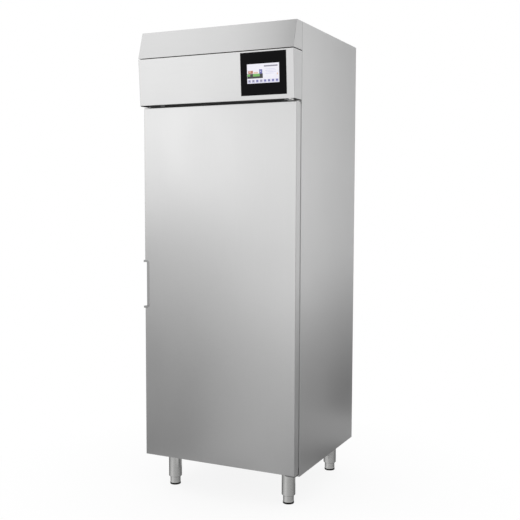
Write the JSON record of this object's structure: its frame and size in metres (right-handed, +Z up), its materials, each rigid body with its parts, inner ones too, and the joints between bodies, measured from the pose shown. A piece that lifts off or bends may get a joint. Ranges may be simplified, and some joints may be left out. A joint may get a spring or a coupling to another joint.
{
  "type": "dry aging cabinet",
  "caption": "Tall stainless cabinet for ageing meat: one solid insulated door with a recessed edge pull, a folded crown with a touch display that hides the machine room, and adjustable legs.",
  "frame": {"origin": "on the floor under the middle of the cabinet's bounding box", "axes": "+X to the right seen from the front, +Y to the back, +Z up"},
  "size_m": [0.7555, 0.7734, 2.08],
  "materials": {
    "door_steel": "satin, brushed upwards",
    "body_steel": "satin, brushed upwards",
    "trim_steel": "satin, brushed across",
    "handle_steel": "satin",
    "liner_steel": "satin",
    "zinc_steel": "galvanised",
    "hinge_steel": "satin",
    "leg_steel": "satin, brushed round",
    "wire_chrome": "bright",
    "screw_steel": "bright",
    "frame_plastic": "matt",
    "bush_plastic": "matt",
    "gasket_rubber": "soft",
    "foot_rubber": "moulded",
    "insulation": "foam",
    "display_glass": "polished, black behind",
    "screen": "lit",
    "black_plastic": "matt",
    "white_plastic": "satin",
    "grey_plastic": "matt",
    "black_paint": "gloss",
    "grommet_rubber": "moulded",
    "coil_aluminium": "plain",
    "copper": "drawn",
    "motor_paint": "satin"
  },
  "bodies": {
    "cabinet": {"left_side_panel": "body_steel", "right_side_panel": "body_steel", "back_panel": "zinc_steel", "bottom_panel": "zinc_steel", "top_cover": "body_steel", "top_front_rail": "body_steel", "thermal_break_frame": "frame_plastic", "wall_foam": "insulation", "inner_liner": "liner_steel", "machine_deck": "zinc_steel", "machine_rear_grille": "zinc_steel", "body_screws": "screw_steel", "crown_trim": "trim_steel", "panel_brackets": "zinc_steel", "top_hinge": "hinge_steel", "bottom_hinge": "hinge_steel", "leg_sleeves": "leg_steel", "shelf_uprights": "liner_steel", "shelf_runners": "liner_steel", "hanging_rail": "liner_steel", "air_duct_panel": "liner_steel", "ceiling_grille": "liner_steel", "chamber_lamp": "white_plastic", "chamber_probe": "black_plastic", "compressor": "black_paint", "compressor_mounts": "grommet_rubber", "condenser_coil": "coil_aluminium", "condenser_shroud": "zinc_steel", "fan_motors": "motor_paint", "refrigerant_pipes": "copper", "electrical_box": "grey_plastic", "power_gland": "black_plastic", "evaporator_housing": "grey_plastic", "evaporator_coil": "coil_aluminium", "drip_pan": "liner_steel", "evaporation_tray": "black_plastic"},
    "door": {"door_skin": "door_steel", "door_handle": "handle_steel", "door_liner": "liner_steel", "door_foam": "insulation", "gasket_retainer": "frame_plastic", "door_gasket": "gasket_rubber", "door_bushes": "bush_plastic"},
    "service_flap": {"control_panel": "trim_steel", "display_glass": "display_glass", "display_screen": "screen", "display_housing": "black_plastic"},
    "condenser_fan_wheel": {"condenser_fan": "black_plastic"},
    "evaporator_fan_wheel": {"evaporator_fan": "black_plastic"},
    "shelf_low": {"wire_shelf_low": "wire_chrome"},
    "shelf_middle": {"wire_shelf_middle": "wire_chrome"},
    "shelf_high": {"wire_shelf_high": "wire_chrome"},
    "leveller_front_left": {"foot_front_left": "leg_steel", "pad_front_left": "foot_rubber"},
    "leveller_front_right": {"foot_front_right": "leg_steel", "pad_front_right": "foot_rubber"},
    "leveller_rear_left": {"foot_rear_left": "leg_steel", "pad_rear_left": "foot_rubber"},
    "leveller_rear_right": {"foot_rear_right": "leg_steel", "pad_rear_right": "foot_rubber"}
  },
  "joints": [
    {"name": "door_hinge", "type": "hinge", "parent": "cabinet", "child": "door", "pos_m": [0.361, -0.3245, 0.958], "axis": [0, 0, 1], "range_deg": [0, 105]},
    {"name": "service_flap_hinge", "type": "hinge", "parent": "cabinet", "child": "service_flap", "pos_m": [0, -0.3765, 1.945], "axis": [-1, 0, 0], "range_deg": [0, 80]},
    {"name": "condenser_fan_spin", "type": "hinge", "parent": "cabinet", "child": "condenser_fan_wheel", "pos_m": [0.185, -0.1905, 1.88], "axis": [0, 1, 0], "continuous": true},
    {"name": "evaporator_fan_spin", "type": "hinge", "parent": "cabinet", "child": "evaporator_fan_wheel", "pos_m": [0, 0.1095, 1.894], "axis": [0, 1, 0], "continuous": true},
    {"name": "shelf_low_slide", "type": "slide", "parent": "cabinet", "child": "shelf_low", "axis": [0, -1, 0], "range_m": [0, 0.025]},
    {"name": "shelf_middle_slide", "type": "slide", "parent": "cabinet", "child": "shelf_middle", "axis": [0, -1, 0], "range_m": [0, 0.025]},
    {"name": "shelf_high_slide", "type": "slide", "parent": "cabinet", "child": "shelf_high", "axis": [0, -1, 0], "range_m": [0, 0.025]},
    {"name": "foot_front_left_screw", "type": "slide", "parent": "cabinet", "child": "leveller_front_left", "axis": [0, 0, -1], "range_m": [-0.02, 0.025]},
    {"name": "foot_front_right_screw", "type": "slide", "parent": "cabinet", "child": "leveller_front_right", "axis": [0, 0, -1], "range_m": [-0.02, 0.025]},
    {"name": "foot_rear_left_screw", "type": "slide", "parent": "cabinet", "child": "leveller_rear_left", "axis": [0, 0, -1], "range_m": [-0.02, 0.025]},
    {"name": "foot_rear_right_screw", "type": "slide", "parent": "cabinet", "child": "leveller_rear_right", "axis": [0, 0, -1], "range_m": [-0.02, 0.025]}
  ]
}
